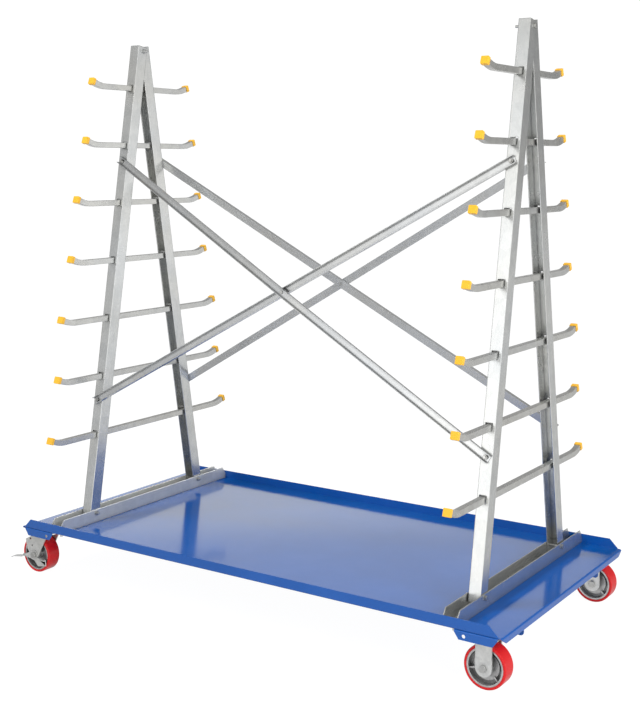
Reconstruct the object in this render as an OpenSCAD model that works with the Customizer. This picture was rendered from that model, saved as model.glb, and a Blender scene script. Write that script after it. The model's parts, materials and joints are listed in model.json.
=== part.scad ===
// Mobile cantilever rack: two A-frames with cross arms on a wheeled steel tray.
// Millimetres, +Z up, +X along the tray towards the rigid casters.
// The origin is on the floor, below the centre of the tray.

/* [Tray] */
// Length of the tray over its folded ends
tray_len = 1828.8; // [1500:0.1:2400]
// Width of the tray over its lips
tray_w = 914.4; // [860:0.1:1200]
// Height of the tray's top face above the floor
tray_top = 167; // [166:0.5:180]
// Thickness of the tray sheet
tray_t = 2.7; // [2:0.1:3]
// Outside radius of the folds along the tray's lips and the caster brackets
edge_r = 4; // [2:0.5:4.5]
// Height of the long lips above the tray's top face
lip_h = 28.6; // [20:0.1:40]
// Depth of the folded ends below the tray's top face
skirt_h = 19.5; // [15:0.1:20]

/* [A-frames] */
// Distance of each A-frame from the middle of the tray
frame_x = 755; // [600:1:760]
// Height of the A-frames above the floor
frame_top = 1848; // [1700:1:2000]
// Half width of an A-frame over its legs at the top
apex_y = 27; // [25:0.1:30]
// Half width of an A-frame over its legs at the tray's top face
foot_y = 311.9; // [280:0.1:330]
// Width of a leg channel's web
leg_w = 38.1; // [36:0.1:40]
// Depth of a leg channel's flanges
leg_d = 44.5; // [42:0.1:46]
// Thickness of the leg and base channels
leg_t = 2.7; // [2:0.1:3]
// Height of the base channels
base_h = 44.5; // [40:0.1:50]

/* [Arms] */
// Height of the top arm's centre line
arm_top_z = 1694; // [1650:1:1710]
// Vertical spacing of the arms
arm_pitch = 203.2; // [190:0.1:204]
// Outside size of the square arm tube
arm_w = 19.05; // [18:0.05:20]
// Wall of the arm tube
arm_wall = 1.6; // [1.2:0.1:2]
// Mean reach of an arm's ends from the legs' faces to the middle of its caps
arm_reach = 204; // [150:1:240]
// Extra reach of each left arm, from the top down
arm_extra_left = [-6, -5, 0, -2, 14, 0, 4];
// Extra reach of each right arm, from the top down
arm_extra_right = [5, 0, 0, 0, 14, 2, 7];
// Distance by which each left arm sits off its frame's centre, towards the front
arm_offset_left = [-4, -4, 4, 4, 4, 4, 4];
// Distance by which each right arm sits off its frame's centre, towards the front
arm_offset_right = [20, 20, 20, 20, 4, 4, 4];
// Angle by which each arm end turns up
arm_bend = 20; // [5:1:30]

/* [Braces] */
// Height of the upper brace bolts
brace_top_z = 1434; // [1420:1:1450]
// Height of the lower brace bolts
brace_low_z = 595; // [580:1:610]
// Width of a brace channel's web
brace_w = 25.4; // [22:0.1:28]
// Depth of a brace channel's flanges
brace_d = 12.7; // [10:0.1:14]
// Thickness of a brace channel
brace_t = 1.9; // [1.5:0.1:2.5]

/* [Casters] */
// Diameter of the wheels
wheel_d = 127; // [120:1:130]
// Width of the tread
tread_w = 50.8; // [46:0.1:52]
// Thickness of the tread
tread_t = 8; // [6:0.5:10]
// Distance from the tray's end to the caster's centre line
caster_inset_x = 65.4; // [60:0.1:70]
// Distance from the tray's long edge to the caster's centre line
caster_inset_y = 55.6; // [55:0.1:57]
// Distance from a swivel caster's kingpin back to its axle
caster_trail = 32; // [28:1:36]

/* [Hidden] */
$fn = 64;
eps = 0.1;

LEFT = -1;
RIGHT = 1;
FRONT = -1;
REAR = 1;

zinc = [0.74, 0.75, 0.76];
bright_zinc = [0.82, 0.83, 0.84];
tray_blue = [0.05, 0.2, 0.62];
cap_yellow = [0.98, 0.68, 0.08];
tread_red = [0.75, 0.06, 0.08];
iron_grey = [0.42, 0.43, 0.44];
bolt_grey = [0.6, 0.61, 0.62];

// Tray
tray_under = tray_top - tray_t;
fold_r = 5;
fold_x = tray_len / 2 - 12.7;
fold_gap = 2;
lip_chamfer = lip_h - 0.6;
skirt_chamfer_y = 25;
skirt_chamfer_z = 14;

// Caster brackets
bracket_t = 2.7;
bracket_x0 = tray_len / 2 - 144.4;
bracket_x1 = tray_len / 2 - 14.4;
bracket_y1 = 174;
bracket_outer_h = 26.5;
bracket_inner_h = 48;
bracket_corner_x = 14;
bracket_corner_z = 20;
bracket_inner_r = 10;
bracket_hole_r = 5.5;
bracket_hole_x = 29;
bracket_hole_drop = 15.3;

// A-frames: the rear leg is set over by one thickness, so the flanges pass at the top
lean = atan((foot_y - apex_y) / (frame_top - tray_top));
leg_shift = (leg_t + eps) / 2;
leg_low_z = 188;
leg_len = (frame_top - leg_low_z) / cos(lean);
base_w = leg_w + 2 * leg_shift + 2 * leg_t + eps;
base_len = tray_w - 2 * tray_t - 2 * eps;
base_cut_y = 18;
base_cut_z = 25;
apex_bolt_z = frame_top - 20;
foot_bolt_y = 280;
foot_bolt_z = tray_top + 32;
anchor_y = tray_w / 2 - 30;

// Fasteners
bolt_r = 4;
bolt_hole_r = 4.2;
bolt_hex_w = 13;
bolt_head_h = 5.3;
bolt_nut_h = 6.8;
frame_bolt_len = 60;
anchor_bolt_len = 22;
rivet_r = 3;
rivet_head_r = 6;
rivet_head_h = 2.5;

// Arms
arm_levels = len(arm_extra_left);
arm_bend_r = 130;
arm_end_len = 12;
slot_side = 2;
slot_over = 3;
slot_play = 0.1;
cap_w = 23.8;
cap_h = 13;
cap_corner_r = 2.5;
cap_plug_len = 11;
cap_plug_play = 0.25;
cap_run = arm_bend_r * sin(arm_bend) + (arm_end_len + cap_h / 2) * cos(arm_bend);
cap_rise = arm_bend_r * (1 - cos(arm_bend)) + (arm_end_len + cap_h / 2) * sin(arm_bend);

// Braces: worked out in the sloping plane of the leg faces
brace_mid_z = (brace_top_z + brace_low_z) / 2;
brace_run = 2 * frame_x;
brace_drop = (brace_top_z - brace_low_z) / cos(lean);
brace_angle = atan(brace_drop / brace_run);
brace_half = sqrt(pow(brace_run, 2) + pow(brace_drop, 2)) / 2;
brace_end = 13;
brace_off = 0.05;
brace_bow = brace_d + 5 * eps;
brace_head_h = 1.5;
brace_head_r = 6.5;
brace_head_play = 0.05;
brace_bolt_tail = 4;

// Casters
axle_z = wheel_d / 2;
caster_x = tray_len / 2 - caster_inset_x;
caster_y = tray_w / 2 - caster_inset_y;
plate_top = tray_under - bracket_t;
plate_t = 4.5;
plate_w = 102;
stud_pitch = 76;
stud_r = 4.75;
stud_hole_r = 5;
stud_nut_w = 14.3;
stud_nut_h = 6.8;
stud_end = 1;
hub_r = 18;
hub_w = 55.6;
fork_gap = 56.6;
running = 0.05;
axle_r = 6.35;
sleeve_r = 9.5;
axle_hex_w = 19;
axle_head_h = 8;
axle_nut_h = 10;
axle_tail = 3;
rigid_leg_w = 49;
rigid_leg_t = 5;
swivel_leg_t = 4;
race_h = 5;
race_r = 30;
raceway_r = 42;
raceway_t = 4;
crown_r = 50;
crown_t = 4;
raceway_top = plate_top - plate_t - race_h - 2 * running;
crown_top = raceway_top - raceway_t;
kingpin_head_r = 9;
kingpin_head_h = 2.5;
kingpin_nut_h = 10;
rim_t = 5.5;
rim_w = 48;
web_t = 8;
disc_r = 39;
disc_w = 24;
rib_t = 5;
rib_w = 34;
ribs = 3;
rib_turn = 75;
shoulder_r = 4;
brake_t = 3;
pedal_w = 19;

// Height of an arm's centre line at a level, counted from the top
function arm_z(level) = arm_top_z - (level - 1) * arm_pitch;
// Distance of a leg's outer face from the rack's centre plane at a height
function face_y(z) = apex_y + (frame_top - z) * tan(lean);
// Half length of an arm's straight middle, rounded to a tenth of a millimetre
function straight_half(x, level) =
  let (extra = x == RIGHT ? arm_extra_right : arm_extra_left)
    round(10 * (face_y(arm_z(level) + cap_rise) + arm_reach + extra[level - 1] - cap_run)) / 10;

// Distance of an arm's middle from its frame's centre plane
function arm_y(x, level) = -(x == RIGHT ? arm_offset_right : arm_offset_left)[level - 1];

// Hexagonal prism of a width across flats
module hex(w, h) {
  cylinder(r = w / sqrt(3), h = h, $fn = 6);
}

// Square with rounded corners, centred
module soft_square(w, r) {
  square([w - 2 * r, w], center = true);
  square([w, w - 2 * r], center = true);
  for (x = [-1, 1])
    for (y = [-1, 1])
      translate([x * (w / 2 - r), y * (w / 2 - r)])
        circle(r = r);
}

// Outline in X and Z, made into a plate that starts at Y = 0 and goes towards +Y
module plate_xz(t) {
  translate([0, t, 0])
    rotate([90, 0, 0])
      linear_extrude(t)
        children();
}

// Bolt along +Z: the head ends at Z = 0 and the nut starts at the grip
module bolt_and_nut(grip, length) {
  translate([0, 0, -bolt_head_h])
    union() {
      hex(bolt_hex_w, bolt_head_h);
      cylinder(r = bolt_r, h = bolt_head_h + length);
    }
  translate([0, 0, grip])
    difference() {
      hex(bolt_hex_w, bolt_nut_h);
      translate([0, 0, -eps])
        cylinder(r = bolt_r, h = bolt_nut_h + 2 * eps);
    }
}

// Cutter for the round outside of a fold along X: the corner is at the origin, with steel towards +Y and +Z
module fold_cutter(length) {
  rotate([90, 0, 90])
    linear_extrude(length, center = true)
      difference() {
        translate([-eps, -eps])
          square(edge_r + eps);
        translate([edge_r, edge_r])
          circle(r = edge_r);
      }
}

// Tray
module lip_outline() {
  polygon([
    [-fold_x, tray_under],
    [fold_x, tray_under],
    [fold_x, tray_top + lip_h - lip_chamfer],
    [fold_x - lip_chamfer, tray_top + lip_h],
    [lip_chamfer - fold_x, tray_top + lip_h],
    [-fold_x, tray_top + lip_h - lip_chamfer]
  ]);
}

module skirt_outline() {
  half = tray_w / 2 - fold_gap;
  low = tray_top - skirt_h;
  polygon([
    [-half, tray_top - fold_r],
    [half, tray_top - fold_r],
    [half, low + skirt_chamfer_z],
    [half - skirt_chamfer_y, low],
    [skirt_chamfer_y - half, low],
    [-half, low + skirt_chamfer_z]
  ]);
}

// Folded end at +X: flat, bend and skirt
module folded_end() {
  width = tray_w - 2 * fold_gap;
  bend_x = tray_len / 2 - fold_r;
  translate([fold_x - eps, -width / 2, tray_under])
    cube([bend_x - fold_x + eps, width, tray_t]);
  translate([bend_x, -width / 2, tray_top - fold_r])
    rotate([-90, 0, 0])
      linear_extrude(width)
        intersection() {
          difference() {
            circle(r = fold_r);
            circle(r = fold_r - tray_t);
          }
          translate([0, -fold_r])
            square(fold_r);
        }
  translate([tray_len / 2 - tray_t, 0, 0])
    rotate([90, 0, 90])
      linear_extrude(tray_t)
        skirt_outline();
}

module lipped_sheet() {
  difference() {
    union() {
      translate([-fold_x, -tray_w / 2, tray_under])
        cube([2 * fold_x, tray_w, tray_t]);
      translate([0, -tray_w / 2, 0])
        plate_xz(tray_t)
          lip_outline();
      translate([0, tray_w / 2 - tray_t, 0])
        plate_xz(tray_t)
          lip_outline();
    }
    for (side = [0, 1])
      mirror([0, side, 0])
        translate([0, -tray_w / 2, tray_under])
          fold_cutter(2 * fold_x + 2 * eps);
  }
}

module tray() {
  color(tray_blue)
    difference() {
      union() {
        lipped_sheet();
        folded_end();
        rotate([0, 0, 180])
          folded_end();
      }
      for (x = [LEFT, RIGHT])
        for (y = [FRONT, REAR])
          translate([x * frame_x, y * anchor_y, tray_under - eps])
            cylinder(r = bolt_hole_r, h = tray_t + 2 * eps);
    }
}

// Caster bracket: a folded strip under each corner of the tray
module bracket_outer_outline() {
  polygon([
    [bracket_x0, tray_under],
    [bracket_x1, tray_under],
    [bracket_x1, tray_under - bracket_outer_h + bracket_corner_z],
    [bracket_x1 - bracket_corner_x, tray_under - bracket_outer_h],
    [bracket_x0 + bracket_corner_x, tray_under - bracket_outer_h],
    [bracket_x0, tray_under - bracket_outer_h + bracket_corner_z]
  ]);
}

module bracket_inner_outline() {
  low = tray_under - bracket_inner_h;
  translate([bracket_x0, low + bracket_inner_r])
    square([bracket_x1 - bracket_x0, bracket_inner_h - bracket_inner_r]);
  translate([bracket_x0 + bracket_inner_r, low])
    square([bracket_x1 - bracket_x0 - 2 * bracket_inner_r, bracket_inner_h]);
  for (x = [bracket_x0 + bracket_inner_r, bracket_x1 - bracket_inner_r])
    translate([x, low + bracket_inner_r])
      circle(r = bracket_inner_r);
}

module caster_bracket(x, y) {
  color(tray_blue)
    mirror([x == LEFT ? 1 : 0, 0, 0])
      mirror([0, y == REAR ? 1 : 0, 0])
        difference() {
          union() {
            translate([bracket_x0, -tray_w / 2, plate_top])
              cube([bracket_x1 - bracket_x0, bracket_y1, bracket_t]);
            translate([0, -tray_w / 2, 0])
              plate_xz(bracket_t)
                bracket_outer_outline();
            translate([0, bracket_y1 - bracket_t - tray_w / 2, 0])
              plate_xz(bracket_t)
                bracket_inner_outline();
          }
          translate([bracket_x0 + bracket_hole_x, -tray_w / 2 - eps, tray_under - bracket_hole_drop])
            rotate([-90, 0, 0])
              cylinder(r = bracket_hole_r, h = bracket_t + 2 * eps);
          translate([(bracket_x0 + bracket_x1) / 2, -tray_w / 2, tray_under])
            mirror([0, 0, 1])
              fold_cutter(bracket_x1 - bracket_x0 + 2 * eps);
          translate([(bracket_x0 + bracket_x1) / 2, bracket_y1 - tray_w / 2, tray_under])
            rotate([180, 0, 0])
              fold_cutter(bracket_x1 - bracket_x0 + 2 * eps);
        }
}

// Studs welded under the brackets, with their nuts
module caster_studs() {
  color(bolt_grey)
    for (x = [LEFT, RIGHT])
      for (y = [FRONT, REAR])
        for (i = [-1, 1])
          for (j = [-1, 1])
            translate([
              x * caster_x + i * stud_pitch / 2,
              y * caster_y + j * stud_pitch / 2,
              plate_top - plate_t - stud_nut_h
            ]) {
              translate([0, 0, -stud_end])
                cylinder(r = stud_r, h = plate_t + stud_nut_h + stud_end);
              difference() {
                hex(stud_nut_w, stud_nut_h);
                translate([0, 0, -eps])
                  cylinder(r = stud_r, h = stud_nut_h + 2 * eps);
              }
            }
}

// Base channels, open at the top, with the upper corners cut off
module base_outline() {
  polygon([
    [-base_len / 2, 0],
    [base_len / 2, 0],
    [base_len / 2, base_h - base_cut_z],
    [base_len / 2 - base_cut_y, base_h],
    [base_cut_y - base_len / 2, base_h],
    [-base_len / 2, base_h - base_cut_z]
  ]);
}

module base_channel(x) {
  color(zinc)
    translate([x * frame_x, 0, tray_top])
      difference() {
        translate([-base_w / 2, 0, 0])
          rotate([90, 0, 90])
            linear_extrude(base_w)
              base_outline();
        translate([leg_t - base_w / 2, -base_len, leg_t])
          cube([base_w - 2 * leg_t, 2 * base_len, base_h]);
        for (y = [FRONT, REAR]) {
          translate([0, y * anchor_y, -eps])
            cylinder(r = bolt_hole_r, h = leg_t + 2 * eps);
          translate([-base_w, y * foot_bolt_y, foot_bolt_z - tray_top])
            rotate([0, 90, 0])
              cylinder(r = bolt_hole_r, h = 2 * base_w);
        }
      }
}

module base_anchor_bolts() {
  color(bolt_grey)
    for (x = [LEFT, RIGHT])
      for (y = [FRONT, REAR])
        translate([x * frame_x, y * anchor_y, tray_top + leg_t])
          rotate([180, 0, 0])
            bolt_and_nut(leg_t + tray_t, anchor_bolt_len);
}

// Leg: a channel with a slot in its web for each arm
module leaning_channel() {
  difference() {
    translate([-leg_w / 2, 0, 0])
      cube([leg_w, leg_d, leg_len]);
    translate([leg_t - leg_w / 2, leg_t, -eps])
      cube([leg_w - 2 * leg_t, leg_d, leg_len + 2 * eps]);
    for (z = [brace_low_z, brace_top_z])
      translate([-leg_shift, -eps, (z - leg_low_z) / cos(lean)])
        rotate([-90, 0, 0])
          cylinder(r = bolt_hole_r, h = leg_t + 2 * eps);
  }
}

module front_leg() {
  difference() {
    translate([leg_shift, -face_y(leg_low_z), leg_low_z])
      rotate([-lean, 0, 0])
        leaning_channel();
    for (level = [1 : arm_levels])
      translate([
        -arm_w / 2 - slot_side,
        -face_y(arm_z(level)) - leg_d / 2,
        arm_z(level) - arm_w / 2 - slot_play
      ])
        cube([arm_w + 2 * slot_side, leg_d, arm_w + slot_over + slot_play]);
    translate([-leg_w, 0, apex_bolt_z])
      rotate([0, 90, 0])
        cylinder(r = bolt_hole_r, h = 2 * leg_w);
    translate([-leg_w, -foot_bolt_y, foot_bolt_z])
      rotate([0, 90, 0])
        cylinder(r = bolt_hole_r, h = 2 * leg_w);
  }
}

// A rear leg is the same part turned half round
module leg(x, y) {
  color(zinc)
    translate([x * frame_x, 0, 0])
      rotate([0, 0, y == REAR ? 180 : 0])
        front_leg();
}

// Through bolts at the apex and feet, with the nuts towards the middle of the rack
module frame_bolts() {
  apex_w = leg_w + 2 * leg_shift;
  color(bolt_grey)
    for (x = [LEFT, RIGHT])
      translate([x * frame_x, 0, 0]) {
        translate([x * apex_w / 2, 0, apex_bolt_z])
          rotate([0, -90 * x, 0])
            bolt_and_nut(apex_w, frame_bolt_len);
        for (y = [FRONT, REAR])
          translate([x * base_w / 2, y * foot_bolt_y, foot_bolt_z])
            rotate([0, -90 * x, 0])
              bolt_and_nut(base_w, frame_bolt_len);
      }
}

// Arm tube section, centred
module tube_outline() {
  difference() {
    square(arm_w, center = true);
    square(arm_w - 2 * arm_wall, center = true);
  }
}

// From the end of the straight part of an arm to the start of its cap, along +Y
module arm_turned_up_end() {
  translate([0, 0, arm_bend_r])
    rotate([0, 90, 0])
      rotate_extrude(angle = arm_bend)
        translate([arm_bend_r, 0])
          tube_outline();
  translate([0, arm_bend_r * sin(arm_bend), arm_bend_r * (1 - cos(arm_bend))])
    rotate([arm_bend - 90, 0, 0])
      linear_extrude(arm_end_len)
        tube_outline();
}

module arm(x, level) {
  half = straight_half(x, level);
  color(zinc)
    translate([x * frame_x, arm_y(x, level), arm_z(level)]) {
      translate([0, half, 0])
        rotate([90, 0, 0])
          linear_extrude(2 * half)
            tube_outline();
      for (turn = [0, 180])
        rotate([0, 0, turn])
          translate([0, half, 0])
            arm_turned_up_end();
    }
}

// Square cap with a plug that goes into the tube
module end_cap() {
  linear_extrude(cap_h)
    soft_square(cap_w, cap_corner_r);
  translate([0, 0, -cap_plug_len])
    linear_extrude(cap_plug_len + eps)
      square(arm_w - 2 * (arm_wall + cap_plug_play), center = true);
}

module arm_end_caps() {
  color(cap_yellow)
    for (x = [LEFT, RIGHT])
      for (level = [1 : arm_levels])
        for (turn = [0, 180])
          translate([x * frame_x, arm_y(x, level), arm_z(level)])
            rotate([0, 0, turn])
              translate([0, straight_half(x, level) + cap_run, cap_rise])
                rotate([arm_bend - 90, 0, 0])
                  translate([0, 0, -cap_h / 2])
                    end_cap();
}

// Places a brace part in the sloping plane of the front or rear legs.
// The brace runs along X, and its outer side faces -Y.
module on_leg_faces(y) {
  rotate([0, 0, y == REAR ? 180 : 0])
    translate([0, -face_y(brace_mid_z), brace_mid_z])
      rotate([-lean, 0, 0])
        children();
}

// Side outline of a brace strip, from Y = near to Y = far, bowed out at the middle
module bowed_outline(near, far, bow) {
  half = brace_half + brace_end;
  polygon([
    [-half, -near], [0, -near - bow], [half, -near],
    [half, -far], [0, -far - bow], [-half, -far]
  ]);
}

module brace_channel(bow) {
  difference() {
    union() {
      translate([0, 0, -brace_w / 2])
        linear_extrude(brace_w)
          bowed_outline(0, brace_t, bow);
      for (z = [-brace_w / 2, brace_w / 2 - brace_t])
        translate([0, 0, z])
          linear_extrude(brace_t)
            bowed_outline(0, brace_d, bow);
    }
    for (x = [-brace_half, brace_half])
      translate([x, -brace_d, 0])
        rotate([-90, 0, 0])
          cylinder(r = bolt_hole_r, h = 2 * brace_d);
    translate([0, -bow - brace_d, 0])
      rotate([-90, 0, 0])
        cylinder(r = rivet_r + eps, h = bow + 2 * brace_d);
  }
}

// The outer brace passes over the flanges of the inner one
module brace_outer(y) {
  color(zinc)
    on_leg_faces(y)
      translate([0, -brace_off, 0])
        rotate([0, brace_angle, 0])
          brace_channel(brace_bow);
}

module brace_inner(y) {
  color(zinc)
    on_leg_faces(y)
      translate([0, -brace_off, 0])
        rotate([0, -brace_angle, 0])
          brace_channel(0);
}

// Bolts with low heads inside the legs and nuts outside the braces
module brace_bolts() {
  grip = leg_t + brace_t + brace_head_play + 6 * eps;
  color(bolt_grey)
    for (y = [FRONT, REAR])
      on_leg_faces(y)
        for (x = [LEFT, RIGHT])
          for (z = [-brace_drop / 2, brace_drop / 2])
            translate([x * frame_x, leg_t + brace_head_play, z])
              rotate([90, 0, 0]) {
                translate([0, 0, -brace_head_h])
                  union() {
                    cylinder(r = brace_head_r, h = brace_head_h);
                    cylinder(r = bolt_r, h = brace_head_h + grip + bolt_nut_h + brace_bolt_tail);
                  }
                translate([0, 0, grip])
                  difference() {
                    hex(bolt_hex_w, bolt_nut_h);
                    translate([0, 0, -eps])
                      cylinder(r = bolt_r, h = bolt_nut_h + 2 * eps);
                  }
              }
}

module brace_rivets() {
  outer = brace_off + brace_bow + brace_t;
  color(bolt_grey)
    for (y = [FRONT, REAR])
      on_leg_faces(y)
        rotate([90, 0, 0]) {
          translate([0, 0, -rivet_head_h])
            cylinder(r = rivet_r, h = outer + 2 * rivet_head_h);
          translate([0, 0, outer])
            cylinder(r = rivet_head_r, h = rivet_head_h);
          translate([0, 0, -rivet_head_h])
            cylinder(r = rivet_head_r, h = rivet_head_h);
        }
}

// Parts shared by all casters, worked out about the axle, which lies along Y
module along_axle() {
  rotate([90, 0, 0])
    children();
}

module wheel_core() {
  core_r = wheel_d / 2 - tread_t;
  color(iron_grey)
    along_axle()
      difference() {
        union() {
          difference() {
            cylinder(r = core_r, h = rim_w, center = true);
            cylinder(r = core_r - rim_t, h = rim_w + 2 * eps, center = true);
          }
          cylinder(r = core_r - rim_t / 2, h = web_t, center = true);
          cylinder(r = disc_r, h = disc_w, center = true);
          cylinder(r = hub_r, h = hub_w, center = true);
          for (i = [0 : ribs - 1])
            rotate([0, 0, rib_turn + i * 360 / ribs])
              translate([disc_r - rib_t, -rib_t / 2, -rib_w / 2])
                cube([core_r - rim_t / 2 - disc_r + rib_t, rib_t, rib_w]);
        }
        cylinder(r = sleeve_r + running, h = hub_w + 2 * eps, center = true);
      }
}

module wheel_tread() {
  color(tread_red)
    along_axle()
      rotate_extrude() {
        translate([wheel_d / 2 - tread_t, -tread_w / 2])
          square([tread_t - shoulder_r, tread_w]);
        translate([wheel_d / 2 - tread_t, shoulder_r - tread_w / 2])
          square([tread_t, tread_w - 2 * shoulder_r]);
        for (y = [-1, 1])
          translate([wheel_d / 2 - shoulder_r, y * (tread_w / 2 - shoulder_r)])
            circle(r = shoulder_r);
      }
}

module axle_sleeve() {
  color(bolt_grey)
    along_axle()
      difference() {
        cylinder(r = sleeve_r, h = fork_gap - eps, center = true);
        cylinder(r = axle_r + running, h = fork_gap + eps, center = true);
      }
}

// Axle bolt with its head at -Y, clamping a stack that spans from Y = -near to Y = far
module axle_bolt(near, far) {
  color(bright_zinc)
    rotate([-90, 0, 0]) {
      translate([0, 0, -near - axle_head_h])
        union() {
          hex(axle_hex_w, axle_head_h);
          cylinder(r = axle_r, h = near + far + axle_head_h + axle_nut_h + axle_tail);
        }
      translate([0, 0, far])
        difference() {
          hex(axle_hex_w, axle_nut_h);
          translate([0, 0, -eps])
            cylinder(r = axle_r, h = axle_nut_h + 2 * eps);
        }
    }
}

module at_axle(x, y) {
  trail = x == LEFT ? caster_trail : 0;
  translate([x * caster_x - trail, y * caster_y, axle_z])
    children();
}

module at_caster(x, y) {
  translate([x * caster_x, y * caster_y, 0])
    children();
}

module mounting_plate() {
  difference() {
    translate([-plate_w / 2, -plate_w / 2, plate_top - plate_t])
      cube([plate_w, plate_w, plate_t]);
    for (i = [-1, 1])
      for (j = [-1, 1])
        translate([i * stud_pitch / 2, j * stud_pitch / 2, plate_top - plate_t - eps])
          cylinder(r = stud_hole_r, h = plate_t + 2 * eps);
  }
}

// Rigid caster: a plate with two straight legs
module rigid_fork(y) {
  color(bright_zinc)
    at_caster(RIGHT, y) {
      mounting_plate();
      for (side = [-1, 1])
        translate([0, side * (fork_gap + rigid_leg_t) / 2 - rigid_leg_t / 2, 0])
          plate_xz(rigid_leg_t)
            difference() {
              union() {
                translate([-rigid_leg_w / 2, axle_z])
                  square([rigid_leg_w, plate_top - plate_t - axle_z + eps]);
                translate([0, axle_z])
                  circle(r = rigid_leg_w / 2);
              }
              translate([0, axle_z])
                circle(r = axle_r + eps);
            }
    }
}

module rigid_axle_bolts() {
  half = fork_gap / 2 + rigid_leg_t;
  for (y = [FRONT, REAR])
    at_axle(RIGHT, y)
      axle_bolt(half, half);
}

module rigid_axle_sleeves() {
  for (y = [FRONT, REAR])
    at_axle(RIGHT, y)
      axle_sleeve();
}

// Swivel caster: plate, kingpin and ball race above a fork that turns
module swivel_plate(y) {
  color(bright_zinc)
    at_caster(LEFT, y)
      difference() {
        mounting_plate();
        translate([0, 0, plate_top - plate_t - eps])
          cylinder(r = axle_r + running, h = plate_t + 2 * eps);
        translate([0, 0, plate_top - kingpin_head_h - running])
          cylinder(r = kingpin_head_r + eps, h = kingpin_head_h + 1);
      }
}

module kingpins() {
  shank_low = crown_top - crown_t - kingpin_nut_h - 1;
  color(bolt_grey)
    for (y = [FRONT, REAR])
      at_caster(LEFT, y) {
        union() {
          translate([0, 0, shank_low])
            cylinder(r = axle_r, h = plate_top - shank_low);
          translate([0, 0, plate_top - kingpin_head_h])
            cylinder(r = kingpin_head_r, h = kingpin_head_h);
        }
        translate([0, 0, shank_low + 1 - running])
          difference() {
            hex(axle_hex_w, kingpin_nut_h);
            translate([0, 0, -eps])
              cylinder(r = axle_r, h = kingpin_nut_h + 2 * eps);
          }
      }
}

module ball_races() {
  color(bolt_grey)
    for (y = [FRONT, REAR])
      at_caster(LEFT, y)
        translate([0, 0, plate_top - plate_t - running - race_h / 2])
          rotate_extrude()
            translate([race_r, 0])
              circle(r = race_h / 2);
}

// Outline of a swivel fork's leg, with the kingpin at X = 0
module swivel_leg_outline() {
  difference() {
    union() {
      polygon([
        [34, crown_top],
        [23, 130],
        [axle_r - caster_trail + 9, axle_z - 6],
        [-caster_trail, axle_z - 19],
        [-caster_trail - 22, axle_z - 2],
        [-69, 82],
        [-76, 113],
        [-49, 127],
        [-38, 137],
        [-38, crown_top]
      ]);
      translate([-caster_trail, axle_z])
        circle(r = 19);
    }
    translate([-caster_trail, axle_z])
      circle(r = axle_r + eps);
    translate([-44, 95])
      circle(r = 3);
    translate([-52, 118])
      circle(r = 6, $fn = 3);
  }
}

module swivel_fork(y) {
  reach = fork_gap / 2 + swivel_leg_t;
  color(bright_zinc)
    at_caster(LEFT, y) {
      difference() {
        union() {
          translate([0, 0, crown_top])
            cylinder(r = raceway_r, h = raceway_t);
          intersection() {
            translate([0, 0, crown_top - crown_t])
              cylinder(r = crown_r, h = crown_t + eps);
            translate([-crown_r, -reach, 0])
              cube([2 * crown_r, 2 * reach, crown_top]);
          }
        }
        translate([0, 0, crown_top - 2 * crown_t])
          cylinder(r = axle_r + running, h = 4 * crown_t);
      }
      for (side = [-1, 1])
        translate([0, side * (fork_gap + swivel_leg_t) / 2 - swivel_leg_t / 2, 0])
          plate_xz(swivel_leg_t)
            swivel_leg_outline();
    }
}

module swivel_axle_bolt(y) {
  half = fork_gap / 2 + swivel_leg_t;
  at_axle(LEFT, y)
    axle_bolt(half + brake_t + 2 * eps, half);
}

module swivel_axle_sleeve(y) {
  at_axle(LEFT, y)
    axle_sleeve();
}

// Rocker that turns on the axle bolt, outside the fork; its flat pedal points away from the rack
module brake_lever(y) {
  inner = fork_gap / 2 + swivel_leg_t + eps;
  color(bright_zinc)
    at_axle(LEFT, y) {
      translate([0, -inner - brake_t, 0])
        plate_xz(brake_t)
          difference() {
            union() {
              polygon([
                [-56, -6], [-30, 3], [-9, 14], [10, 12], [20, -6], [53, -10],
                [56, -31], [18, -38], [2, -20], [-20, -15], [-56, -13]
              ]);
              circle(r = 15);
            }
            circle(r = axle_r + running);
          }
      translate([0, -inner - pedal_w, 0])
        plate_xz(pedal_w)
          polygon([
            [-99, -20], [-97, -22], [-86, -16.5], [-60, -12.5], [-44, -10],
            [-44, -7], [-60, -9.5], [-86, -13.5]
          ]);
      translate([20, -inner - pedal_w / 2, 0])
        plate_xz(pedal_w / 2)
          polygon([[0, -6.5], [33, -10.5], [33, -13.5], [0, -9.5]]);
    }
}

tray();
caster_bracket(LEFT, FRONT);  // caster_bracket_front_left
caster_bracket(RIGHT, FRONT);  // caster_bracket_front_right
caster_bracket(LEFT, REAR);  // caster_bracket_rear_left
caster_bracket(RIGHT, REAR);  // caster_bracket_rear_right
base_channel(LEFT);  // base_channel_left
base_channel(RIGHT);  // base_channel_right
base_anchor_bolts();
leg(LEFT, FRONT);  // leg_front_left
leg(LEFT, REAR);  // leg_rear_left
leg(RIGHT, FRONT);  // leg_front_right
leg(RIGHT, REAR);  // leg_rear_right
frame_bolts();
arm(LEFT, 1);  // arm_left_1
arm(LEFT, 2);  // arm_left_2
arm(LEFT, 3);  // arm_left_3
arm(LEFT, 4);  // arm_left_4
arm(LEFT, 5);  // arm_left_5
arm(LEFT, 6);  // arm_left_6
arm(LEFT, 7);  // arm_left_7
arm(RIGHT, 1);  // arm_right_1
arm(RIGHT, 2);  // arm_right_2
arm(RIGHT, 3);  // arm_right_3
arm(RIGHT, 4);  // arm_right_4
arm(RIGHT, 5);  // arm_right_5
arm(RIGHT, 6);  // arm_right_6
arm(RIGHT, 7);  // arm_right_7
arm_end_caps();
brace_outer(FRONT);  // brace_front_outer
brace_inner(FRONT);  // brace_front_inner
brace_outer(REAR);  // brace_rear_outer
brace_inner(REAR);  // brace_rear_inner
brace_bolts();
brace_rivets();
caster_studs();
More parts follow.
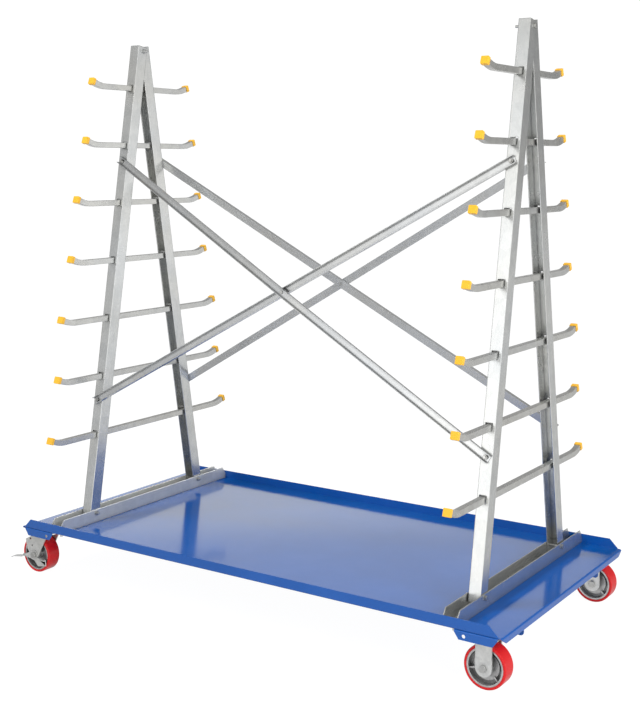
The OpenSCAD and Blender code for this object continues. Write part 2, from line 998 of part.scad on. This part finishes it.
rigid_fork(FRONT);  // rigid_fork_front
rigid_fork(REAR);  // rigid_fork_rear
rigid_axle_bolts();
rigid_axle_sleeves();
swivel_plate(FRONT);  // swivel_plate_front
swivel_plate(REAR);  // swivel_plate_rear
kingpins();
ball_races();
swivel_fork(FRONT);  // swivel_fork_front
swivel_axle_bolt(FRONT);  // swivel_axle_bolt_front
swivel_axle_sleeve(FRONT);  // swivel_axle_sleeve_front
brake_lever(FRONT);  // brake_lever_front
swivel_fork(REAR);  // swivel_fork_rear
swivel_axle_bolt(REAR);  // swivel_axle_bolt_rear
swivel_axle_sleeve(REAR);  // swivel_axle_sleeve_rear
brake_lever(REAR);  // brake_lever_rear
at_axle(RIGHT, FRONT) wheel_core();  // wheel_core_front_right
at_axle(RIGHT, FRONT) wheel_tread();  // wheel_tread_front_right
at_axle(RIGHT, REAR) wheel_core();  // wheel_core_rear_right
at_axle(RIGHT, REAR) wheel_tread();  // wheel_tread_rear_right
at_axle(LEFT, FRONT) wheel_core();  // wheel_core_front_left
at_axle(LEFT, FRONT) wheel_tread();  // wheel_tread_front_left
at_axle(LEFT, REAR) wheel_core();  // wheel_core_rear_left
at_axle(LEFT, REAR) wheel_tread();  // wheel_tread_rear_left
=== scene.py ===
"""Looks of a mobile cantilever rack: galvanised A-frames and arms on a glossy blue tray with red casters."""

import json
import math

import bpy
from mathutils import Matrix, Vector

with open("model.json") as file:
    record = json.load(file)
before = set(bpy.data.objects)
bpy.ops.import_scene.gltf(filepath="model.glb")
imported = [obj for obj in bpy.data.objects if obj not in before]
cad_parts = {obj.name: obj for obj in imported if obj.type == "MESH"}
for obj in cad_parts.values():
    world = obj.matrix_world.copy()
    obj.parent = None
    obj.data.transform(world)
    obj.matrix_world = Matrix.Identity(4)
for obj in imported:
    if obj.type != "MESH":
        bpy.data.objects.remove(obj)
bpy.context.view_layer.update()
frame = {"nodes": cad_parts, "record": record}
nodes = frame["nodes"]
scene = bpy.context.scene


# ---------------------------------------------------------------- node helpers
EDGE_SAMPLES = 6  # rays per shaded point that look for folds to round and for recesses to darken with painted shade


class Tree:
    """Small wrapper that adds and links shader nodes."""

    def __init__(self, tree):
        self.tree = tree
        tree.nodes.clear()

    def add(self, kind, **settings):
        node = self.tree.nodes.new(kind)
        for key, value in settings.items():
            setattr(node, key, value)
        return node

    def put(self, node, name, value):
        """Sets an input, by name or index, to a value or links it to an output."""
        socket = node.inputs[name]
        if isinstance(value, bpy.types.NodeSocket):
            self.tree.links.new(value, socket)
        else:
            socket.default_value = value

    def math(self, operation, a, b=0.0, clamp=False):
        node = self.add("ShaderNodeMath", operation=operation, use_clamp=clamp)
        self.put(node, 0, a)
        self.put(node, 1, b)
        return node.outputs[0]

    def coords(self, scale=(1, 1, 1)):
        """The piece's own coordinates in metres, stretched by a scale along each axis."""
        texco = self.add("ShaderNodeTexCoord")
        mapping = self.add("ShaderNodeMapping")
        self.put(mapping, "Vector", texco.outputs["Object"])
        self.put(mapping, "Scale", scale)
        return mapping.outputs[0]

    def noise(self, vector, scale, detail=2.0, rough=0.5):
        node = self.add("ShaderNodeTexNoise")
        self.put(node, "Vector", vector)
        self.put(node, "Scale", scale)
        self.put(node, "Detail", detail)
        self.put(node, "Roughness", rough)
        return node.outputs["Fac"]

    def spangle(self, vector, scale):
        """Random grey per crystal of a zinc coat."""
        node = self.add("ShaderNodeTexVoronoi", feature="F1")
        self.put(node, "Vector", vector)
        self.put(node, "Scale", scale)
        parts = self.add("ShaderNodeSeparateColor")
        self.put(parts, 0, node.outputs["Color"])
        return parts.outputs[0]

    def remap(self, value, low, high, to_low, to_high):
        node = self.add("ShaderNodeMapRange", clamp=True)
        self.put(node, "Value", value)
        self.put(node, "From Min", low)
        self.put(node, "From Max", high)
        self.put(node, "To Min", to_low)
        self.put(node, "To Max", to_high)
        return node.outputs[0]

    def blend(self, factor, a, b, mode="MIX"):
        """Colour between a and b; each is a link or a plain (red, green, blue)."""
        node = self.add("ShaderNodeMix", data_type="RGBA", blend_type=mode)
        self.put(node, 0, factor)
        self.put(node, 6, (*a, 1) if isinstance(a, tuple) else a)
        self.put(node, 7, (*b, 1) if isinstance(b, tuple) else b)
        return node.outputs[2]

    def bump(self, height, strength, distance, edge=0.0):
        """Fine relief, on top of folds rounded to a radius in metres."""
        node = self.add("ShaderNodeBump")
        self.put(node, "Strength", strength)
        self.put(node, "Distance", distance)
        self.put(node, "Height", height)
        if edge:
            fold = self.add("ShaderNodeBevel", samples=EDGE_SAMPLES)
            self.put(fold, "Radius", edge)
            self.put(node, "Normal", fold.outputs[0])
        return node.outputs[0]

    def painted_cavity_shade(self, distance, darkest):
        """Painted shade factor: 1 in the open, down to the darkest value in corners and recesses."""
        node = self.add("ShaderNodeAmbientOcclusion", samples=EDGE_SAMPLES)
        self.put(node, "Distance", distance)
        return self.remap(node.outputs["AO"], 0.25, 0.95, darkest, 1.0)

    def shade(self, color, factor):
        """A colour times a grey factor."""
        grey = self.add("ShaderNodeCombineColor")
        for k in range(3):
            self.put(grey, k, factor)
        return self.blend(1.0, color, grey.outputs[0], "MULTIPLY")

    def principled(self, color, rough, metallic, normal):
        shader = self.add("ShaderNodeBsdfPrincipled")
        self.put(shader, "Base Color", color)
        self.put(shader, "Roughness", rough)
        self.put(shader, "Metallic", metallic)
        self.put(shader, "Normal", normal)
        return shader

    def mix(self, factor, a, b):
        """Shader between the shader nodes a and b."""
        node = self.add("ShaderNodeMixShader")
        self.put(node, 0, factor)
        self.put(node, 1, a.outputs[0])
        self.put(node, 2, b.outputs[0])
        return node

    def between(self, factor, a, b):
        """Value between a and b."""
        return self.math("ADD", self.math("MULTIPLY", a, self.math("SUBTRACT", 1.0, factor)),
                         self.math("MULTIPLY", b, factor))

    def background(self, strength):
        node = self.add("ShaderNodeBackground")
        self.put(node, "Color", (1, 1, 1, 1))
        self.put(node, "Strength", strength)
        return node

    def finish(self, shader, kind="ShaderNodeOutputMaterial"):
        self.put(self.add(kind), "Surface", shader.outputs[0])


# ---------------------------------------------------------------- materials
# share of the light that the paint mirrors: seen straight on, what a grazing look adds to that on
# upright faces, and how much less it adds on level ones
MIRROR_STRAIGHT = 0.042
MIRROR_GRAZING = 0.46
MIRROR_LEVEL_LOSS = 0.365


def material(name):
    mat = bpy.data.materials.new(name)
    mat.use_nodes = True
    return mat, Tree(mat.node_tree)


def zinc(name, low, high, rough, metallic, cell=38.0, grain=(1, 1, 1), edge=0.0):
    """Galvanised or plated steel: faint zinc crystals, rolling streaks, patches of tint and a wavy surface.

    low and high are its darkest and lightest colours, cell the crystals per metre, grain the stretch of the
    streaks and edge the radius in metres to which its folds look rounded.
    """
    mat, t = material(name)
    plain = t.coords()
    crystals = t.spangle(plain, cell)
    clouds = t.noise(plain, 0.5 * cell, 3.0)
    streaks = t.noise(t.coords(grain), 60.0, 3.0)
    patches = t.noise(plain, 5.0, 2.0)
    mottle = t.math("ADD", t.math("MULTIPLY", crystals, 0.2), t.math("MULTIPLY", clouds, 0.35))
    grey = t.remap(t.math("ADD", mottle, t.math("MULTIPLY", streaks, 0.45)), 0.3, 0.7, 0.0, 1.0)
    base = t.blend(grey, low, high)
    tint = t.blend(t.remap(patches, 0.35, 0.65, 0.0, 1.0), (0.97, 0.99, 1.0), (1.0, 0.985, 0.93))
    base = t.blend(0.5, base, t.blend(1.0, base, tint, "MULTIPLY"))
    roughness = t.math("ADD", rough - 0.04, t.math("MULTIPLY", clouds, 0.08))
    normal = t.bump(t.math("ADD", clouds, t.math("MULTIPLY", streaks, 0.3)), 0.05, 0.0004, edge)
    # painted shade: the zinc colour darkens in corners, recesses and between parts
    t.finish(t.principled(t.shade(base, t.painted_cavity_shade(0.012, 0.6)), roughness, metallic, normal))
    return mat


def paint(name, base_color):
    """Glossy powder coat with orange peel, faint dust and wiping marks; it mirrors more at grazing angles."""
    mat, t = material(name)
    plain = t.coords()
    dust = t.noise(plain, 3.0, 5.0, 0.6)
    peel = t.noise(plain, 260.0, 2.0)
    wipes = t.noise(t.coords((2.0, 26.0, 8.0)), 6.0, 4.0)
    deep = tuple(0.86 * c for c in base_color)
    base = t.blend(t.remap(dust, 0.3, 0.7, 0.0, 1.0), deep, base_color)
    base = t.blend(t.remap(dust, 0.55, 0.9, 0.0, 0.02), base, (0.5, 0.52, 0.56))
    rough = t.remap(t.math("ADD", dust, wipes), 0.6, 1.4, 0.09, 0.17)
    normal = t.bump(peel, 0.05, 0.0003)
    body = t.principled(base, 0.6, 0.0, normal)
    t.put(body, "Specular IOR Level", 0.0)
    slope = t.add("ShaderNodeSeparateXYZ")
    t.put(slope, 0, t.add("ShaderNodeNewGeometry").outputs["Normal"])
    # 1 on level faces and 0 on upright ones: the deck mirrors less than the sides, and warmer
    level = t.math("MULTIPLY", slope.outputs[2], slope.outputs[2])
    mirror = t.add("ShaderNodeBsdfAnisotropic")
    t.put(mirror, "Color", t.blend(level, (1.0, 1.0, 1.0), (1.0, 0.93, 0.62)))
    t.put(mirror, "Roughness", rough)
    t.put(mirror, "Normal", normal)
    weight = t.add("ShaderNodeLayerWeight")
    t.put(weight, "Blend", 0.5)
    facing = weight.outputs["Facing"]
    gain = t.math("SUBTRACT", MIRROR_GRAZING, t.math("MULTIPLY", level, MIRROR_LEVEL_LOSS))
    share = t.math("ADD", MIRROR_STRAIGHT, t.math("MULTIPLY", gain, t.math("MULTIPLY", facing, facing)))
    t.finish(t.mix(share, body, mirror))
    return mat


def plastic(name, base_color, rough, ior):
    """Moulded plastic with uneven colour and a fine moulded grain."""
    mat, t = material(name)
    plain = t.coords()
    cloud = t.noise(plain, 22.0, 3.0)
    grain = t.noise(plain, 300.0, 2.0)
    base = t.blend(cloud, tuple(0.85 * c for c in base_color), base_color)
    roughness = t.remap(cloud, 0.3, 0.7, rough - 0.05, rough + 0.07)
    shader = t.principled(base, roughness, 0.0, t.bump(grain, 0.08, 0.0003))
    t.put(shader, "IOR", ior)
    t.finish(shader)
    return mat


def cast(name, low, high):
    """Silver-painted sand casting: pitted, mottled, with painted shade darkening its recesses."""
    mat, t = material(name)
    plain = t.coords()
    mottle = t.noise(plain, 70.0, 5.0, 0.6)
    sand = t.noise(plain, 420.0, 3.0, 0.7)
    base = t.blend(t.remap(mottle, 0.3, 0.7, 0.0, 1.0), low, high)
    # painted shade: the colour darkens in the recesses of the wheel
    base = t.shade(base, t.painted_cavity_shade(0.03, 0.4))
    rough = t.remap(sand, 0.3, 0.7, 0.28, 0.44)
    t.finish(t.principled(base, rough, 0.8, t.bump(sand, 0.35, 0.0006, 0.0012)))
    return mat


MATERIALS = {
    "zinc_channel": zinc("zinc_channel", (0.60, 0.61, 0.61), (0.71, 0.715, 0.71), 0.26, 0.88,
                         grain=(6, 6, 0.5), edge=0.003),
    "base_zinc": zinc("base_zinc", (0.56, 0.57, 0.57), (0.66, 0.665, 0.66), 0.34, 0.55,
                      grain=(6, 0.5, 6), edge=0.003),
    "arm_tube": zinc("arm_tube", (0.54, 0.54, 0.53), (0.66, 0.66, 0.64), 0.28, 0.85,
                     grain=(8, 0.6, 8), edge=0.002),
    "brace_steel": zinc("brace_steel", (0.62, 0.63, 0.64), (0.71, 0.72, 0.73), 0.26, 0.88, 30.0,
                        grain=(1, 2, 2), edge=0.001),
    "tray_paint": paint("tray_paint", (0.0038, 0.094, 0.405)),
    "bracket_paint": paint("bracket_paint", (0.0040, 0.096, 0.41)),
    "cap_plastic": plastic("cap_plastic", (0.95, 0.52, 0.035), 0.34, 1.5),
    "tread_urethane": plastic("tread_urethane", (0.68, 0.010, 0.013), 0.34, 1.40),
    "wheel_iron": cast("wheel_iron", (0.48, 0.48, 0.48), (0.74, 0.74, 0.74)),
    "caster_zinc": zinc("caster_zinc", (0.66, 0.665, 0.66), (0.80, 0.80, 0.79), 0.30, 0.75, 120.0),
    "fastener_zinc": zinc("fastener_zinc", (0.50, 0.50, 0.49), (0.62, 0.62, 0.61), 0.28, 0.9, 90.0),
}

# ---------------------------------------------------------------- pieces
# radius in metres to which each material's sharp edges are broken
EDGE = {
    "zinc_channel": 0.0007,
    "base_zinc": 0.0007,
    "arm_tube": 0.0018,
    "brace_steel": 0.0006,
    "tray_paint": 0.0007,
    "bracket_paint": 0.0007,
    "cap_plastic": 0.0016,
    "tread_urethane": 0.0008,
    "wheel_iron": 0.0008,
    "caster_zinc": 0.0005,
    "fastener_zinc": 0.0004,
}

WELD = 0.00002  # metres: corners nearer than this become one
FLAT = math.radians(0.5)  # facets that turn by less become one face
SHARP = math.radians(38)  # edges that turn by more are rounded

# the gently bowed braces keep the smooth faces they come with
BOWED = ("brace_front_outer", "brace_rear_outer")

slots = {s["node"]: s["material_slot"] for s in frame["record"]["subparts"]}
# the left base channel gets its own copy of the zinc, duller and of another grey, as painted light for how
# differently light falls on it
slots["base_channel_left"] = "base_zinc"


def finish_edges(obj, width):
    """Rounds the sharp edges so that they catch the light."""
    weld = obj.modifiers.new("weld", "WELD")
    weld.merge_threshold = WELD
    flat = obj.modifiers.new("flat", "DECIMATE")
    flat.decimate_type = "DISSOLVE"
    flat.angle_limit = FLAT
    bevel = obj.modifiers.new("edges", "BEVEL")
    bevel.width = width
    bevel.segments = 2
    bevel.limit_method = "ANGLE"
    bevel.angle_limit = SHARP
    bevel.use_clamp_overlap = True
    smooth = obj.modifiers.new("smooth", "WEIGHTED_NORMAL")
    smooth.weight = 80
    smooth.keep_sharp = False


for name, obj in nodes.items():
    slot = slots[name]
    obj.data.materials.clear()
    obj.data.materials.append(MATERIALS[slot])
    if name not in BOWED:
        finish_edges(obj, EDGE[slot])

# ---------------------------------------------------------------- floor and room
FLOOR_HALF = 30.0  # metres from the middle to each side
FLOOR_CELLS = 24  # squares along each side
FLOOR_GLOW = 0.97  # what the camera gets from the paper itself, where 1 is white
BACKDROP = 1.05  # what it gets from the room
BRIGHTEST = 2.6  # full scale of the room's ramp, above every level in it
RAMP_SHIFT = 0.1  # added to the cuts, as a ramp holds no negative values


def floor_mesh():
    """Plain floor that runs up to the horizon."""
    mesh = bpy.data.meshes.new("floor")
    steps = [FLOOR_HALF * (2 * i / FLOOR_CELLS - 1) for i in range(FLOOR_CELLS + 1)]
    row = FLOOR_CELLS + 1
    faces = [(j * row + i, j * row + i + 1, (j + 1) * row + i + 1, (j + 1) * row + i)
             for j in range(FLOOR_CELLS) for i in range(FLOOR_CELLS)]
    mesh.from_pydata([(x, y, 0.0) for y in steps for x in steps], [], faces)
    obj = bpy.data.objects.new("floor", mesh)
    scene.collection.objects.link(obj)
    return obj


def floor_paper():
    """Pale paper: nearly white to the camera, soft shadows, and no sharp picture of it in the metal."""
    mat, t = material("floor_paper")
    speckle = t.noise(t.coords(), 9.0, 3.0)
    bounce = t.add("ShaderNodeBsdfDiffuse")
    t.put(bounce, "Color", t.blend(speckle, (0.70, 0.70, 0.70), (0.74, 0.74, 0.74)))
    catcher = t.add("ShaderNodeBsdfDiffuse")
    t.put(catcher, "Color", t.blend(speckle, (0.10, 0.10, 0.10), (0.12, 0.12, 0.12)))
    glow = t.add("ShaderNodeEmission")
    t.put(glow, "Color", (1, 1, 1, 1))
    t.put(glow, "Strength", FLOOR_GLOW)
    pale = t.add("ShaderNodeAddShader")
    t.put(pale, 0, catcher.outputs[0])
    t.put(pale, 1, glow.outputs[0])
    path = t.add("ShaderNodeLightPath")
    gone = t.add("ShaderNodeBsdfTransparent")
    mirrored = t.mix(path.outputs["Is Glossy Ray"], bounce, gone)
    t.finish(t.mix(path.outputs["Is Camera Ray"], mirrored, pale))
    return mat


floor = floor_mesh()
floor.data.materials.append(floor_paper())


def ramp_by_azimuth(t, turn, stops, scale):
    """Three values, from 0 to the scale, for each azimuth in degrees, blended linearly in between."""
    ramp = t.add("ShaderNodeValToRGB")
    t.put(ramp, 0, turn)
    elements = ramp.color_ramp.elements
    elements.remove(elements[1])
    for i, (angle, *values) in enumerate(stops):
        element = elements[0] if i == 0 else elements.new(angle / 360 + 0.5)
        element.position = angle / 360 + 0.5
        element.color = (*[v / scale for v in values], 1)
    parts = t.add("ShaderNodeSeparateColor")
    t.put(parts, 0, ramp.outputs[0])
    return [t.math("MULTIPLY", parts.outputs[k], scale) for k in range(3)]


def studio_world():
    """White room: what the camera sees is white, and what the rack reflects has lighter and darker sides."""
    world = bpy.data.worlds.new("studio")
    world.use_nodes = True
    scene.world = world
    t = Tree(world.node_tree)
    texco = t.add("ShaderNodeTexCoord")
    split = t.add("ShaderNodeSeparateXYZ")
    t.put(split, 0, texco.outputs["Generated"])
    azimuth = t.math("ARCTAN2", split.outputs[1], split.outputs[0])
    turn = t.math("ADD", t.math("DIVIDE", azimuth, 2 * math.pi), 0.5)
    # azimuth in degrees: brightness above the cut, at the horizon and well below it
    levels = [(-179, 0.60, 0.55, 0.50), (-150, 0.50, 0.40, 0.45), (-137, 0.28, 0.41, 0.40),
              (-132, 0.26, 0.46, 0.44), (-128, 0.32, 0.70, 0.46), (-122, 0.36, 1.05, 0.56),
              (-118, 0.38, 1.50, 0.64), (-113, 0.44, 2.30, 0.72), (-104, 0.44, 2.10, 0.72),
              (-88, 0.55, 1.10, 0.80), (-60, 0.60, 1.40, 1.20), (-25, 0.60, 1.75, 1.60),
              (5, 0.60, 1.60, 1.40), (25, 0.60, 1.20, 0.85), (38, 0.65, 1.70, 0.72),
              (44, 0.65, 1.70, 0.70), (48, 0.72, 1.20, 0.70), (54, 0.45, 0.80, 0.64),
              (62, 0.22, 0.62, 0.52), (68, 0.20, 0.66, 0.60), (75, 0.22, 0.68, 0.65),
              (92, 0.45, 0.85, 0.85), (104, 0.32, 0.80, 0.80), (125, 0.32, 0.80, 0.80),
              (145, 0.40, 0.80, 0.80), (160, 0.50, 0.80, 0.80), (179, 0.60, 0.60, 0.50)]
    # azimuth in degrees: sine of the elevation of the cut, and the height over which it fades
    cuts = [(-179, 0.33, 0.10), (-137, 0.32, 0.12), (-128, 0.32, 0.12), (-118, 0.31, 0.12),
            (-104, 0.31, 0.12), (-90, 0.33, 0.10), (-60, 0.33, 0.10), (20, 0.20, 0.10),
            (38, 0.04, 0.06), (50, 0.02, 0.06), (60, -0.08, 0.06), (78, -0.08, 0.06),
            (95, 0.08, 0.10), (150, 0.08, 0.10), (179, 0.33, 0.10)]
    above, middle, below = ramp_by_azimuth(t, turn, levels, BRIGHTEST)
    cut, fade, _ = ramp_by_azimuth(t, turn, [(a, c + RAMP_SHIFT, f, 0) for a, c, f in cuts], 1.0)
    height = t.math("SUBTRACT", t.math("ADD", split.outputs[2], RAMP_SHIFT), cut)
    over = t.math("DIVIDE", height, fade, clamp=True)
    under = t.remap(split.outputs[2], -0.15, -0.08, 1.0, 0.0)
    level = t.between(under, t.between(over, middle, above), below)
    path = t.add("ShaderNodeLightPath")
    lit = t.background(level)
    seen = t.background(BACKDROP)
    t.finish(t.mix(path.outputs["Is Camera Ray"], lit, seen), "ShaderNodeOutputWorld")


studio_world()


# ---------------------------------------------------------------- lamps
def softbox(name, place, target, size, power):
    """Rectangular lamp, not seen by the camera; metres and watts."""
    data = bpy.data.lights.new(name, "AREA")
    data.shape = "RECTANGLE"
    data.size, data.size_y = size
    data.energy = power
    obj = bpy.data.objects.new(name, data)
    scene.collection.objects.link(obj)
    obj.location = place
    obj.rotation_euler = (Vector(target) - Vector(place)).to_track_quat("-Z", "Y").to_euler()
    obj.visible_camera = False
    return obj


# two wide panels behind the rack that only the paint mirrors
painted = bpy.data.collections.new("painted")
for name, obj in nodes.items():
    if slots[name] in ("tray_paint", "bracket_paint"):
        painted.objects.link(obj)
for name, height, size, power in (("panel_low", 1.55, (7.0, 0.9), 72), ("panel_high", 2.6, (7.0, 1.2), 50)):
    panel = softbox(name, (-4.1, 4.6, height), (0.0, 0.0, 0.17), size, power)
    panel.light_linking.receiver_collection = painted
# the deck mirrors the bright inner side of the left base channel, which itself mirrors this panel
channel_panel = softbox("glow", (2.0, 2.3, 1.6), (-0.7, 0.0, 0.2), (3.4, 1.4), 90)
channel_panel.visible_diffuse = False
channel_only = bpy.data.collections.new("channel_only")
channel_only.objects.link(nodes["base_channel_left"])
channel_panel.light_linking.receiver_collection = channel_only
# the key and the fill light the rack but are not mirrored in it: its reflections come from the room
for name, place, target, size, power in (("key", (-2.6, -2.8, 6.2), (0.1, 0.0, 0.7), (1.8, 1.8), 230),
                                         ("fill", (4.2, -1.6, 2.2), (0.0, 0.0, 0.5), (2.6, 2.0), 110)):
    softbox(name, place, target, size, power).visible_glossy = False


# ---------------------------------------------------------------- camera
LENS = 68.021  # millimetres, on a sensor 36 mm wide
SHIFT = (-0.0031, -0.1230)  # in picture widths
EYE = (2.2325, -3.3183, 1.4227)
YAW, PITCH, ROLL = (math.radians(v) for v in (33.518, -5.193, -0.101))


def front_camera():
    """Camera in front of the rack, to its right."""
    data = bpy.data.cameras.new("camera")
    data.sensor_fit = "HORIZONTAL"
    data.sensor_width = 36.0
    data.lens = LENS
    data.shift_x, data.shift_y = SHIFT
    data.clip_end = 200.0
    obj = bpy.data.objects.new("camera", data)
    scene.collection.objects.link(obj)
    turn = (Matrix.Rotation(YAW, 4, "Z") @ Matrix.Rotation(math.pi / 2 + PITCH, 4, "X")
            @ Matrix.Rotation(-ROLL, 4, "Z"))
    obj.matrix_world = Matrix.Translation(EYE) @ turn
    scene.camera = obj


front_camera()
scene.view_settings.view_transform = "Standard"
scene.view_settings.look = "None"
scene.view_settings.exposure = 0.0
